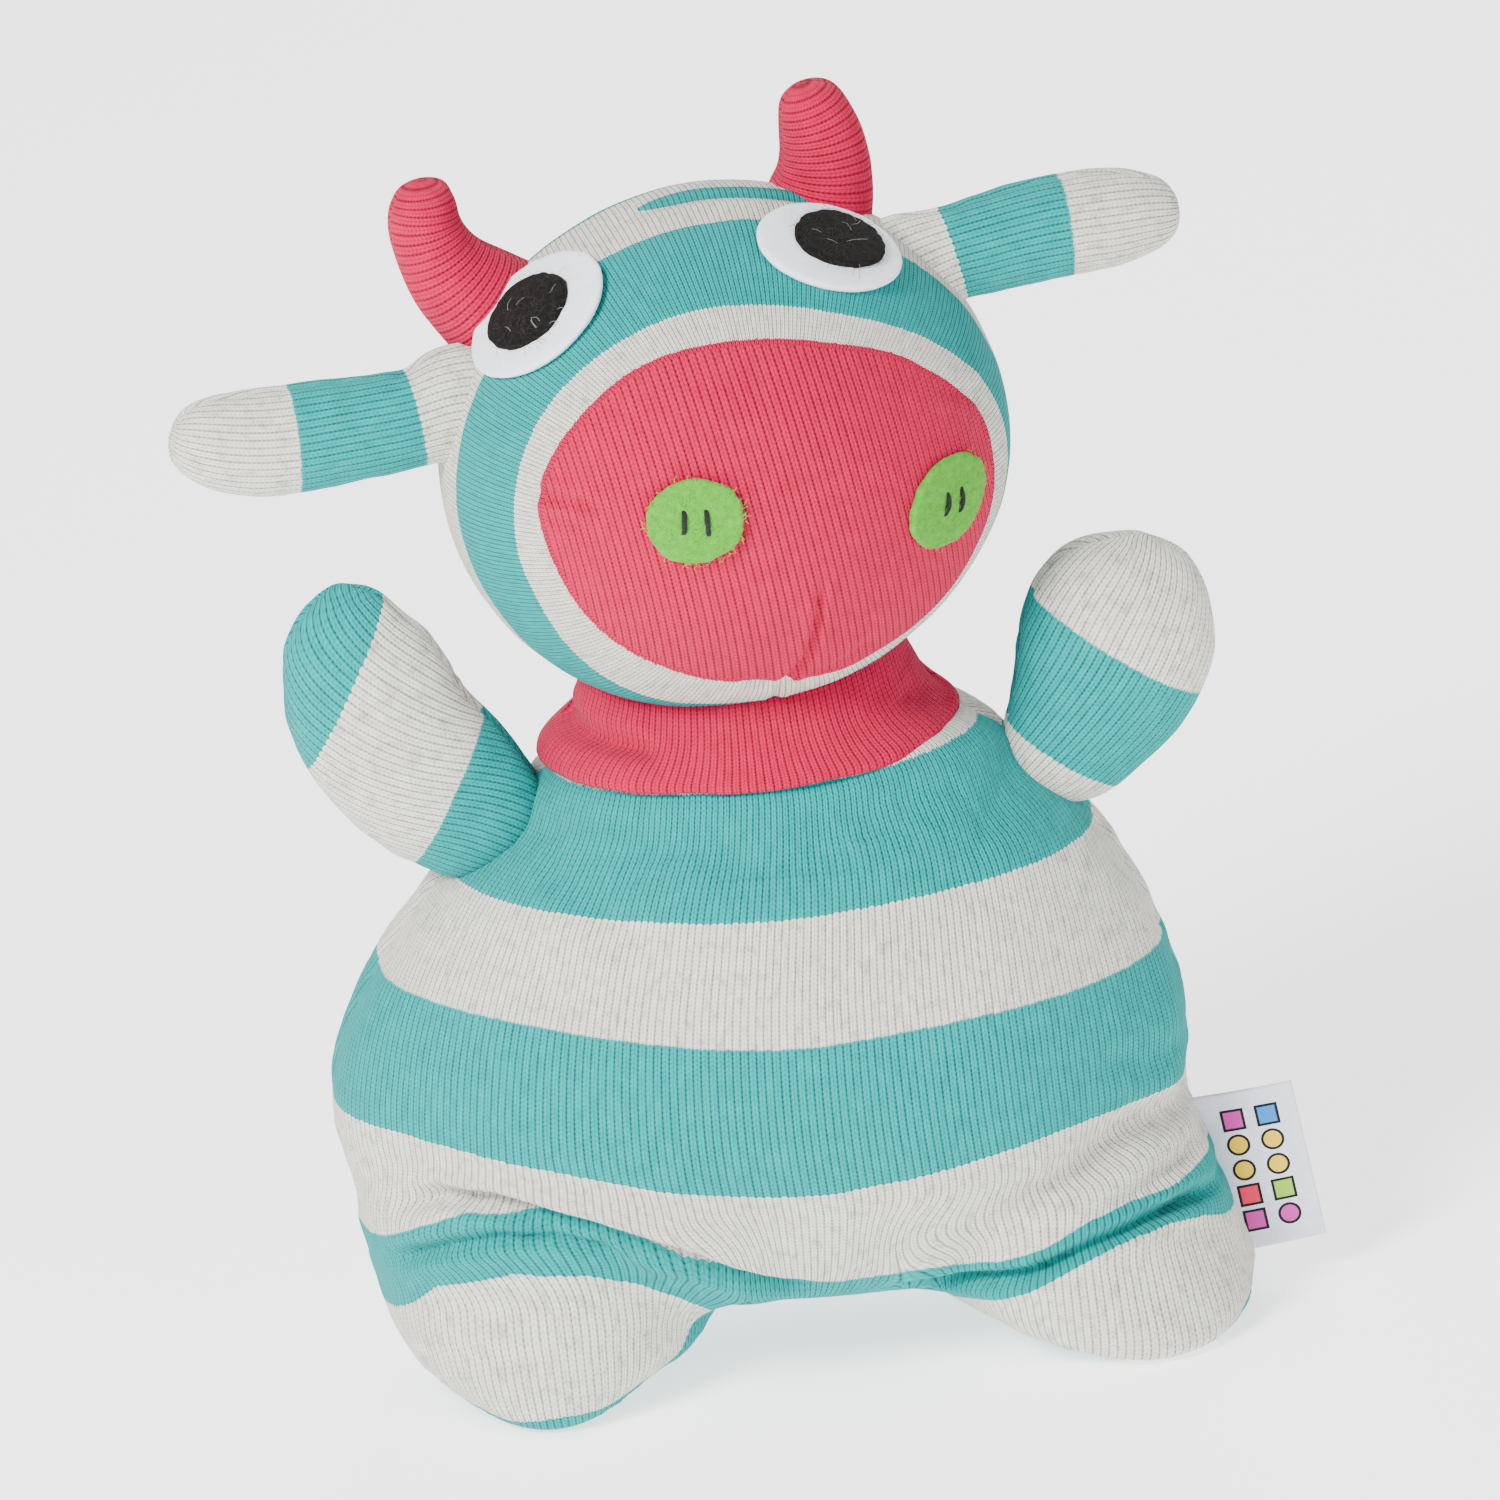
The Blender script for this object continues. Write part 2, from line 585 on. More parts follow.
def leg_run(x, y, z, side):
    """Distance round a leg, carried on from the ribs of the body above the middle of the leg."""
    rows = sorted(LEG[side])
    edges = cubic([r[0] for r in rows], [r[1:] for r in rows], np.clip(z, 20, 46))
    cx, a, b = (edges[:, 0] + edges[:, 1]) / 2, (edges[:, 1] - edges[:, 0]) / 2, edges[:, 2]
    top = [v[None] for v in torso_section(np.array(50.0))]
    start = oval_run(np.array([cx.mean()]), np.array([40.0]), *top)
    return start + oval_run(x, y, cx, a, b) / gather(a, b) + (cx - cx.mean())


def rib_run(pts):
    """Rib coordinate of each point of the body, in millimetres of cloth from the middle of the front."""
    x, y, z = pts.T
    run = oval_run(x, y, *torso_section(z))
    for side, sign in (("right", -1), ("left", 1)):
        weight = smooth(50, 30, z) * smooth(6, 26, x * sign)
        run = run + weight * (leg_run(x, y, z, side) - run)
    return run


def stripe_height(x, y, z):
    """Height as the stripes have it: a stripe keeps its course numbers where the cloth is pulled up or down."""
    rise = 15.0 * smooth(10, -100, x) - 1.6 * smooth(30, 88, x)
    sag = 3.6 * np.exp(-((x + 8) / 44) ** 2) - 1.7 * np.exp(-((x - 64) / 22) ** 2)
    sag = sag * smooth(8, -8, y)
    upper = BELLY_COURSE + rise - sag
    belly, foot, toe = np.interp(x, *BELLY_EDGE), np.interp(x, *FOOT_EDGE), np.interp(x, *TOE_EDGE)
    high = z - rise * smooth(146, 86, z) + sag * smooth(31, 0, z - upper)
    z = z - np.maximum(36.0 - np.abs(y), 0) * smooth(9, 1.5, z) * 0.85
    belt = BELT_COURSE + (z - belly) * (BELLY_COURSE - BELT_COURSE) / (upper - belly)
    thigh = FOOT_COURSE + (z - foot) * (BELT_COURSE - FOOT_COURSE) / np.maximum(belly - foot, 3.0)
    ankle = TOE_COURSE + (z - toe) * (FOOT_COURSE - TOE_COURSE) / np.maximum(foot - toe, 5.0)
    low = np.where(z > toe, ankle, TOE_COURSE + z - toe)
    return np.where(z > upper, high, np.where(z > belly, belt, np.where(z > foot, thigh, low)))


def body_skin():
    """The closed bags of torso and legs, and the points and quads of one skin over them."""
    bags = [rings(TORSO + TORSO_TOP + TORSO_BOTTOM, 150)] + [rings(rows, 80) for rows in LEG.values()]
    pts, quads = fused(bags, VOXEL)
    pairs = edge_pairs(quads)
    low = smooth(74, 58, pts[:, 2])[:, None]
    right_crease = np.exp(-((pts[:, :1] + 60) / 45) ** 2)
    pts = relax(pts, pairs, 0.5, 4)
    pts = relax(pts, pairs, 0.5 * low * (1 - 0.5 * right_crease), 34)
    pts[:, 1] = np.where(np.abs(pts[:, 1]) < VOXEL * 0.5, 0, pts[:, 1])
    return bags, pts, quads


def stuffed(pts, bags):
    """The skin pushed out by its stuffing, held at the side seams, the neck and the soles."""
    coarse, quads = fused(bags, COARSE_VOXEL)
    pairs = edge_pairs(quads)
    coarse = relax(coarse, pairs, 0.5, 3)
    seams = np.exp(-(coarse[:, 1] / 3.5) ** 2)
    ends = np.maximum(smooth(130, 138, coarse[:, 2]), smooth(4, 1.5, coarse[:, 2]))
    moves = relax(settled(coarse, quads, np.maximum(seams, ends)), pairs, 0.5, 3)
    return pts + carried(moves, coarse, pts) * smooth(0, 4, np.abs(pts[:, 1]))[:, None]


def body_bulge(pts):
    """Height of the lumps, puckers, side seams and folds of the body."""
    x, y, z = pts.T
    bulge = 0.8 * noise(pts, 27, 1) + 0.3 * noise(pts, 11, 2)
    bulge = bulge + 0.55 * np.exp(-(y / 9.0) ** 2) * noise(pts * np.array([1, 0.15, 1]), 4.6, 3)
    bulge = bulge - 1.5 * np.exp(-(y / 2.1) ** 2) * smooth(143, 136, z)
    bulge = bulge + folds(x, z, FOLDS) * smooth(1, -6, y) + folds(x, z, BACK_FOLDS) * smooth(-1, 6, y)
    return bulge * smooth(145, 141, z) * smooth(0.2, 4, z)


def below_cut(middle, side):
    """Which quads, by their middles, belong to a leg's own cloth."""
    (px, pz), (dx, dz) = CUT[side]
    outside = middle[:, 0] < -6 if side == "right" else middle[:, 0] > 10
    return outside & ((middle[:, 0] - px) * dx + (middle[:, 2] - pz) * dz > 0)


def body():
    bags, pts, quads = body_skin()
    pts = stuffed(pts, bags)
    run = rib_run(pts)
    course = stripe_height(*pts.T)
    pts = pts + point_normals(pts, quads) * body_bulge(pts)[:, None]
    pts[:, 2] = np.maximum(pts[:, 2], 0.1)
    middle = pts[quads].mean(axis=1)
    behind = middle[:, 1] > 0
    legs = {side: below_cut(middle, side) for side in ("right", "left")}
    torso = ~legs["right"] & ~legs["left"]
    material = knit("body_knit", ["teal", "grey"] * 4, BODY_BOUNDS, 1)
    for name, pick in (("torso_front_panel", torso & ~behind), ("torso_back_panel", torso & behind),
                       ("right_leg_cover", legs["right"]), ("left_leg_cover", legs["left"])):
        faces = quads[pick]
        used, corners = np.unique(faces, return_inverse=True)
        mirrored = np.repeat(behind[pick], 4)
        u = np.where(mirrored, -1, 1) * run[faces.ravel()] / PITCH + 400.0
        v = course[faces.ravel()]
        v = v + 4.0 * mirrored * smooth(116, 130, v)
        uvs = np.stack([u, v], axis=-1)
        obj = new_object(name + "_cloth", pts[used], corners.reshape(-1, 4).tolist(), uvs, material)
        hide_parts(name)
        side = name.split("_")[0]
        if side in CUT:
            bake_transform(obj)
        else:
            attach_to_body(obj, "torso")


# ------------------------------------------------------------------ arms


def path_frame(rows):
    """Direction along a bent path and the direction across it, both in the plane of the path."""
    along = np.gradient(rows[:, :2], axis=0)
    along /= np.linalg.norm(along, axis=1, keepdims=True)
    reach = np.concatenate([[0], np.cumsum(np.hypot(np.diff(rows[:, 0]), np.diff(rows[:, 1])))])
    return np.stack([along[:, 1], -along[:, 0]], axis=1), reach


def limb(part, side, matrix, origin, rows, count, section, pattern, seed):
    """Front and back panel of a stuffed limb. Rows are (x, z, half width, half thickness) in its own frame.
    `pattern` is the yarns, the courses where they change, and their direction or None for along the limb."""
    rows = profile(rows, count)
    kinds, bounds, direction = pattern
    across, reach = path_frame(rows)
    cols = 73
    inside = origin + matrix @ np.array([rows[:, 0].mean(), 0, rows[:, 1].mean()])
    size = float(rows[:, 2].max())
    x, z, half, thick = (rows[:, k][:, None] for k in range(4))
    for panel, start in (("front", math.pi), ("back", 0.0)):
        name = side + "_" + part + "_" + panel + "_panel"
        t = np.linspace(start, start + math.pi, cols)
        wide = half * np.cos(t)
        deep = thick * np.sign(np.sin(t)) * np.abs(np.sin(t)) ** section
        local = np.stack([x + wide * across[:, :1], deep, z + wide * across[:, 1:]], axis=-1)
        pts = origin + local @ matrix.T
        edge = np.exp(-(np.abs(np.sin(t)) / 0.30) ** 2)[None, :]
        along = np.stack([reach[:, None] + 0 * wide, np.cos(t)[None, :] * 40 + 0 * wide, 0 * wide], axis=-1)
        bulge = size * 0.030 * noise(pts, size * 1.1, seed) + size * 0.012 * noise(pts, size * 0.42, seed + 1)
        bulge = bulge + 0.42 * edge * noise(along, 3.6, seed + 2) + seam_valley(t, size * 0.065, 0.11)[None, :]
        bulge = bulge * smooth(0.0, 0.30, half / size)
        pts = pts + normals(pts, False, inside) * bulge[..., None]
        run = wale_count(np.stack([wide, deep], axis=-1), cols // 2)
        run = run * (2.6 * size / np.maximum(run[:, -1:] - run[:, :1], size)) ** 0.5
        if panel == "back":
            run = -run
        if direction is None:
            u, v = run, reach[:, None] + 0 * run
        else:
            u = run * direction[1] - local[..., 2] * direction[0]
            v = local[..., 0] * direction[0] + local[..., 2] * direction[1]
        uv = np.stack([u / PITCH + 300.0, v], axis=-1)
        obj = cloth(name, pts, uv, knit(name + "_knit", kinds, bounds, seed), inside)
        attach(obj, side + "_" + part, name)


ARM_ANGLE = {"left": 62.0, "right": 115.0}
# yarns from the body out, distances from the shoulder where they change, and lean of the stripes in degrees
ARM_STRIPES = {
    "left": (["grey", "teal", "grey"], [2.862, 30.262], -10.2),
    "right": (["teal", "grey", "teal"], [11.575, 41.575], 34.0),
}
# distance from the shoulder, offset of the middle, half width, half thickness
ARM_ROWS = {
    "left": [(-7.5, 0, 4.5, 4), (-5.5, 0.4, 8.6, 7.5), (-1, 1.3, 12.9, 10.5), (7, 2.8, 15.9, 12.5),
             (17, 4.0, 19.2, 14.5), (27, 4.2, 20.9, 15.5), (37, 3.2, 20.3, 15), (45, 2.8, 17, 12.6),
             (50.5, 2.4, 11.5, 8.6), (53.2, 2, 6, 4.6), (54.2, 2, 0.3, 0.2)],
    "right": [(-8, 0, 5, 4), (-6, 0, 9.5, 7.5), (-2, 0, 14, 10.5), (7, -0.7, 17.2, 12.5), (18, -4, 19, 14.5),
              (30, -6, 19.2, 15.3), (42, -4.4, 18.4, 14.6), (52, -1.4, 14.8, 11.6), (59, 1.8, 9.4, 7.6),
              (62.4, 3.4, 4.6, 3.8), (63.5, 4.2, 0.3, 0.2)],
}


def arm(side):
    angle = math.radians(ARM_ANGLE[side])
    matrix = frame_matrix((math.sin(angle), 0, -math.cos(angle)), (math.cos(angle), 0, math.sin(angle)))
    kinds, bounds, lean = ARM_STRIPES[side]
    lean = math.radians(lean)
    pattern = (kinds, bounds, (-math.sin(lean), math.cos(lean)))
    rows = [(centre, reach, half, thick) for reach, centre, half, thick in ARM_ROWS[side]]
    seed = {"left": 5, "right": 6}[side]
    limb("arm", side, matrix, JOINT[side + "_arm_swing"], rows, 96, 0.86, pattern, seed)


# ------------------------------------------------------------------ head's place, and ears

HEAD_CENTRE = JOINT["head_nod"] + np.array([0, 0, 55.6])
HEAD_SEMI = np.array([61.0, 55.0, 56.0])
HEAD_YAW = math.radians(9.0)
HEAD_ROLL = math.radians(8.0)


def head_matrix():
    cy, sy = math.cos(HEAD_YAW), math.sin(HEAD_YAW)
    cr, sr = math.cos(-HEAD_ROLL), math.sin(-HEAD_ROLL)
    yaw = np.array([[cy, -sy, 0], [sy, cy, 0], [0, 0, 1]])
    roll = np.array([[cr, 0, sr], [0, 1, 0], [-sr, 0, cr]])
    return yaw @ roll


HEAD = head_matrix()


def on_head(local):
    return HEAD_CENTRE + np.asarray(local, float) @ HEAD.T


# path and width in the head's own frame: x, z, half width, half thickness
EAR_ROWS = {
    "right": [(-44, 24, 13.2, 8.5), (-50, 25.6, 13.6, 8.8), (-55, 26.4, 12.6, 8.6), (-60, 26.4, 10.9, 8.2),
              (-66, 26.9, 11.0, 8.8), (-78, 28.6, 11.6, 9.4), (-90, 30.4, 11.7, 9.5), (-100, 33.2, 11.1, 9),
              (-107, 36.0, 9.2, 7.6), (-111.5, 38, 5.8, 5), (-113.2, 38.8, 0.3, 0.3)],
    "left": [(42, 22.6, 13, 8.5), (47, 23.8, 13.2, 8.8), (52, 24.6, 12.4, 8.6), (57.5, 25.2, 10.6, 8.2),
             (63, 25.3, 10.4, 8.8), (73, 25.0, 11.0, 9.3), (83.5, 24.0, 11.3, 9.4), (94, 22.2, 10.6, 9),
             (101.5, 20.6, 8.8, 7.4), (106.5, 19.2, 5.6, 5), (108.8, 18.6, 0.3, 0.3)],
}
# where the yarns change, in the head's x
EAR_BOUNDS = {"right": [-61.5, -88.0], "left": [59.0, 84.0]}


def ear(side):
    rows = EAR_ROWS[side]
    fine = profile(rows, 400)
    reach = path_frame(fine)[1]
    order = np.argsort(fine[:, 0])
    bounds = [float(np.interp(x, fine[order, 0], reach[order])) for x in EAR_BOUNDS[side]]
    seed = {"left": 7, "right": 8}[side]
    limb("ear", side, HEAD, HEAD_CENTRE, rows, 100, 0.88, (["grey", "teal", "grey"], bounds, None), seed)


# ------------------------------------------------------------------ head

# by direction round the snout: angle from its middle to the toe's edge, and to the teal beyond the grey band
TOE_RIM = ([-60, -45, -30, -15, 0, 15, 31, 45, 58, 70, 92, 114, 138, 165, 178, 205, 231, 253, 265, 275,
            291, 300],
           [58, 61, 62, 61, 58, 51.3, 46.3, 42.5, 40.7, 40.5, 41.9, 44.8, 47.4, 49.8, 48, 46, 46, 48.1, 49.5,
            52, 55.5, 58])
BAND_RIM = ([-60, -40, -20, 0, 13, 28, 43, 57, 70, 92, 114, 139, 166, 181, 195, 210, 224, 237, 250, 265,
             280, 300],
            [66, 70, 71, 67, 60.5, 54.5, 50, 48.3, 48.5, 50.6, 52.6, 55.2, 56.4, 56.7, 56.8, 59.5, 62, 63.5,
             63, 62, 63, 66])
# courses where the yarns change from the snout to the back of the head; from HALFWAY on they are degrees
HEAD_BOUNDS = [47.0, 55.5, 78.0, 103.0, 128.0, 152.0]
HALFWAY = 95


def rim(theta, table):
    """Angle of a ring's edge from the snout's middle, in degrees."""
    return cubic(*table, (np.degrees(theta) + 60) % 360 - 60)


HEAD_FOLDS = [
    ([(8, -16), (5, -27), (2, -36), (-4, -43), (-7, -52)], 1.0, 1.5),
    ([(-45, 15), (-38, 12.6), (-33, 11)], 1.3, 1.1),
    ([(-44, 9), (-38, 9)], 1.2, 0.6),
    ([(54, 3), (48, 7), (43, 11)], 1.3, 0.5),
    ([(16, -38), (10, -41), (4, -43)], 1.4, 0.5),
    ([(-14, -39), (-8, -42), (-3, -43)], 1.4, 0.5),
]


def ball_normals(points):
    """Unit normals of the head ball at points on it, in its own frame."""
    n = points / HEAD_SEMI ** 2
    return n / np.linalg.norm(n, axis=-1, keepdims=True)


def crown_tuck(ring, theta, middle, width):
    """Strength, 0 to 1, of the small tuck across the top of the head; angles from the snout in degrees."""
    turn = np.degrees(theta)
    return np.exp(-((ring - middle) / width) ** 2) * smooth(104, 84, turn) * smooth(35, 55, turn)


def head_surface(alpha, theta):
    """Points of the head ball, displaced, in its own frame; alpha is the angle from the snout's middle."""
    direction = [np.sin(alpha) * np.cos(theta), -np.cos(alpha), np.sin(alpha) * np.sin(theta)]
    direction = np.stack(direction, axis=-1)
    pts = direction * HEAD_SEMI
    bulge = 0.55 * noise(pts, 24, 2) + 0.2 * noise(pts, 9, 3)
    bulge = bulge - 1.1 * crown_tuck(np.degrees(alpha), theta, 88.0, 2.4)
    bulge = bulge + 2.0 * np.maximum(direction @ np.array([0.81, -0.17, -0.56]), 0) ** 3
    bulge = bulge + folds(pts[..., 0], pts[..., 2], HEAD_FOLDS) * (pts[..., 1] < 0)
    return pts + ball_normals(pts) * bulge[..., None]


def head():
    cols = 300
    theta = np.linspace(0, 2 * math.pi, cols + 1)[:-1]
    toe_rim, band_rim = rim(theta, TOE_RIM), rim(theta, BAND_RIM)
    seam = np.radians(toe_rim - 1.4)
    q = np.linspace(0.001, 1, 70)[:, None]
    toe = head_surface(q * seam, theta[None, :] * np.ones_like(q))
    closed = np.concatenate([toe, toe[:, :1]], axis=1)
    u = np.arcsin(np.clip(closed[..., 0] / HEAD_SEMI[0], -1, 1)) * 60.0
    uv = np.stack([u / PITCH + 300.5, closed[..., 2] + 200], axis=-1)
    obj = cloth("snout_toe", on_head(toe), uv, knit("snout_knit", ["pink"], [], 4), HEAD_CENTRE, wrap=True)
    attach(obj, "head", "snout_toe")
    q = np.linspace(0, 1, 190)[:, None]
    alpha = seam + (math.radians(179.97) - seam) * q
    shell = head_surface(alpha, theta[None, :] * np.ones_like(q))
    around = np.linspace(0, 2 * math.pi, cols + 1)
    ring = np.degrees(np.concatenate([alpha, alpha[:, :1]], axis=1))
    toe_rim, band_rim = np.append(toe_rim, toe_rim[0]), np.append(band_rim, band_rim[0])
    toe_v, band_v = HEAD_BOUNDS[:2]
    v = np.where(ring < HALFWAY, band_v + (ring - band_rim) * (HALFWAY - band_v) / (HALFWAY - band_rim), ring)
    v = np.where(ring < band_rim, toe_v + (ring - toe_rim) * (band_v - toe_v) / (band_rim - toe_rim), v)
    v = v + 22.0 * crown_tuck(ring, around, 90.5, 3.2)
    uv = np.stack([around[None, :] * 300 / (2 * math.pi) * np.ones_like(v) + 300.5, v], axis=-1)
    kinds = ["pink", "grey", "teal", "grey", "teal", "grey", "teal"]
    material = knit("head_knit", kinds, HEAD_BOUNDS, 5)
    obj = cloth("head_cover", on_head(shell), uv, material, HEAD_CENTRE, wrap=True)
    attach(obj, "head", "head_cover")


# ------------------------------------------------------------------ collar


def head_underside(x, y):
    """Height of the head ball's lower side over a place on the ground."""
    down = HEAD.T @ np.array([0, 0, -1.0])
    start = np.stack([x - HEAD_CENTRE[0], y - HEAD_CENTRE[1], 0 * x], axis=-1) @ HEAD
    a = np.sum((down / HEAD_SEMI) ** 2)
    b = np.sum(start * down / HEAD_SEMI ** 2, axis=-1)
    c = np.sum((start / HEAD_SEMI) ** 2, axis=-1) - 1
    return HEAD_CENTRE[2] - (-b + np.sqrt(np.maximum(b * b - a * c, 0))) / a


# share of the height, half width and half depth
COLLAR_ROWS = [(-0.10, 43.0, 34.0), (-0.05, 45.2, 36.6), (0.0, 46.4, 37.6), (0.07, 45.9, 37.2),
               (0.20, 43.2, 35.8), (0.38, 39.8, 33.2), (0.60, 37.4, 29.6), (1.0, 35.4, 23.6),
               (1.25, 33.6, 20.0)]
COLLAR_FOLDS = [
    ([(-48, 148), (-41, 149.5), (-32, 149), (-20, 148)], 1.7, 1.8),
    ([(44, 143), (39, 147), (31, 150)], 2.0, 0.9),
    ([(-20, 140), (-4, 143), (10, 142)], 3.0, 0.5),
]


def collar():
    cols = 220
    t = np.linspace(0, 2 * math.pi, cols + 1)[:-1]
    rows = profile(COLLAR_ROWS, 60)
    share, half_x, half_y = (rows[:, k][:, None] for k in range(3))
    right, left = smooth(0.1, 0.9, np.cos(t)), smooth(0.1, 0.9, -np.cos(t))
    half_x = half_x - 1.8 * right + 1.3 * left * np.exp(-((share - 0.2) / 0.2) ** 2)
    x = half_x * np.cos(t)
    y = half_y * np.sin(t)
    low = 141.0 - 1.0 * np.maximum(-np.sin(t), 0) ** 1.5 + 0.4 * np.sin(3 * t + 1) + 0.6 * left
    top = head_underside(35.4 * np.cos(t), 23.6 * np.sin(t)) + 1.0
    z = low + (top - low) * share
    pts = np.stack([x, y, z], axis=-1)
    n = normals(pts, True, (0, 0, 150))
    bulge = 0.5 * noise(pts, 15, 3) + 0.22 * noise(pts, 6, 1)
    bulge = bulge + folds(pts[..., 0], pts[..., 2], COLLAR_FOLDS) * (pts[..., 1] < 4)
    pts = pts + n * bulge[..., None]
    closed = np.concatenate([pts, pts[:, :1]], axis=1)
    run = wale_count(closed, cols // 4 * 3)
    run = run[16:17] * np.ones_like(run)
    reach = np.concatenate([[0], np.cumsum(np.hypot(np.diff(rows[:, 0]) * 20, np.diff(rows[:, 1])))])[:, None]
    uv = np.stack([run / PITCH + 400.5, reach * np.ones_like(run) + 100], axis=-1)
    obj = cloth("neck_collar", pts, uv, knit("collar_knit", ["pink"], [], 6), (0, 0, 150), wrap=True)
    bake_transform(obj)
    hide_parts("neck_collar")


# ------------------------------------------------------------------ horns

# path in the head's own frame (x, z) and radius
HORN_ROWS = {
    "right": [(-31, 32.4, 13.6), (-35.8, 38.2, 13.1), (-40, 43.6, 12.1), (-44.3, 50.6, 10.4), (-46.7, 58, 8.9),
              (-47.2, 64.6, 8.0), (-46.4, 68.8, 7.1), (-46, 72.2, 5.2), (-45.8, 74.2, 0.2)],
    "left": [(29, 29, 13.2), (32.5, 35.5, 12.6), (35.2, 41, 11.8), (37.8, 46.2, 10.8), (39.4, 52, 9.7),
             (39.8, 58.2, 8.8), (39.3, 63.6, 7.3), (38.8, 67.2, 4.9), (38.6, 69.2, 0.2)],
}
HORN_Y = 10.0


def horn(side):
    rows = profile(HORN_ROWS[side], 84)
    across, reach = path_frame(rows)
    cols = 108
    t = np.linspace(0, 2 * math.pi, cols + 1)[:-1]
    radius = rows[:, 2][:, None]
    wide, deep = radius * np.cos(t), radius * np.sin(t) * 1.08
    local = np.stack([rows[:, 0][:, None] + wide * across[:, 0][:, None], HORN_Y + deep,
                      rows[:, 1][:, None] + wide * across[:, 1][:, None]], axis=-1)
    pts = on_head(local)
    inside = on_head((rows[:, 0].mean(), HORN_Y, rows[:, 1].mean()))
    n = normals(pts, True, inside)
    bulge = 0.35 * noise(pts, 11, 1) + 0.16 * noise(pts, 5, 2)
    bulge = bulge + seam_valley(t, 0.7, 0.16)[None, :] * smooth(0, 5, radius)
    pts = pts + n * bulge[..., None]
    around = np.linspace(0, 2 * math.pi, cols + 1)[None, :]
    u = reach[:, None] * np.ones_like(around)
    uv = np.stack([u / PITCH + 200.5, around * 9.0 + 50 + 0 * u], axis=-1)
    name = side + "_horn_cover"
    obj = cloth(name, pts, uv, knit(name + "_knit", ["pink"], [], 7), inside, wrap=True)
    attach(obj, "head", name)


# ------------------------------------------------------------------ felt and thread


def felt_material(name, color, light, dark, sheen, grain):
    g = Graph(name)
    u, v = g.uv()
    where = g.join(u, v)
    mat = g.noise(where, 0.55 * grain, 4.0, 0.7)
    fine = g.noise(where, 2.6 * grain, 3.0, 0.7)
    tone = g.mix(g.span(mat, 0.35, 0.7), color, light)
    tone = g.mix(g.mul(g.span(fine, 0.52, 0.75), 0.7), tone, dark)
    height = g.add(g.mul(mat, 0.6), g.mul(fine, 0.5))
    return g.finish(tone, g.bump(height, 0.55, 0.0005), 0.97, sheen)


def head_point(azimuth, elevation):
    """Point on the head ball in a direction, with its normal and the two directions across it."""
    az, el = math.radians(azimuth), math.radians(elevation)
    ray = np.array([math.sin(az) * math.cos(el), -math.cos(az) * math.cos(el), math.sin(el)])
    point = ray / math.sqrt(np.sum((ray / HEAD_SEMI) ** 2))
    n = ball_normals(point)
    across = np.cross((0, 0, 1.0), n)
    across /= np.linalg.norm(across)
    return point, n, across, np.cross(n, across)


def on_ball(points):
    """Points brought along their rays onto the head ball."""
    return points / np.sqrt(np.sum((points / HEAD_SEMI) ** 2, axis=-1, keepdims=True))


def turned(a, b, degrees):
    angle = math.radians(degrees)
    return a * math.cos(angle) - b * math.sin(angle), a * math.sin(angle) + b * math.cos(angle)


def patch_points(spot, radius, phi, height):
    """Points over the head ball inside an oval; radius is 0 to 1 and height in millimetres."""
    azimuth, elevation, half_x, half_y, turn = spot
    point, _, across, up = head_point(azimuth, elevation)
    x, y = turned(radius * half_x * np.cos(phi), radius * half_y * np.sin(phi), turn)
    flat = point + x[..., None] * across + y[..., None] * up
    ball = on_ball(flat)
    return ball + STIFF * (flat - ball) + ball_normals(ball) * height[..., None], x, y


def felt(name, spot, base, thick, material, rough, seed):
    """An oval of felt laid on the head: top, worn edge and underside as one closed sheet."""
    cols = 120
    phi = np.linspace(0, 2 * math.pi, cols + 1)[:-1]
    ring = np.stack([np.cos(phi) * 9, np.sin(phi) * 9, phi * 0], axis=-1)
    edge = 1 + rough * (0.6 * noise(ring, 4.0, seed) + 0.5 * noise(ring, 1.3, seed + 1))
    rows = [(share, thick) for share in (0.01, 0.2, 0.4, 0.6, 0.75, 0.86)]
    rows += [(0.93, thick * 0.97), (0.97, thick * 0.88), (0.992, thick * 0.68), (1.0, thick * 0.42)]
    rows += [(0.995, thick * 0.15), (0.98, -0.25), (0.9, -0.5), (0.5, -0.5), (0.01, -0.5)]
    share, lift = (np.array(column)[:, None] for column in zip(*rows))
    radius = share * edge
    grain = np.stack([radius * np.cos(phi) * 20, radius * np.sin(phi) * 20, radius * 0], axis=-1)
    height = base + lift + 0.16 * noise(grain, 3.0, seed) * (lift > thick * 0.5)
    local, x, y = patch_points(spot, radius, phi, height)
    uv = np.stack([x, y], axis=-1)
    uv = np.concatenate([uv, uv[:, :1]], axis=1) + 30
    point, n, _, _ = head_point(spot[0], spot[1])
    obj = cloth(name, on_head(local), uv, material, on_head(point + n * (base + thick * 0.4)), wrap=True)
    attach(obj, "head", name)


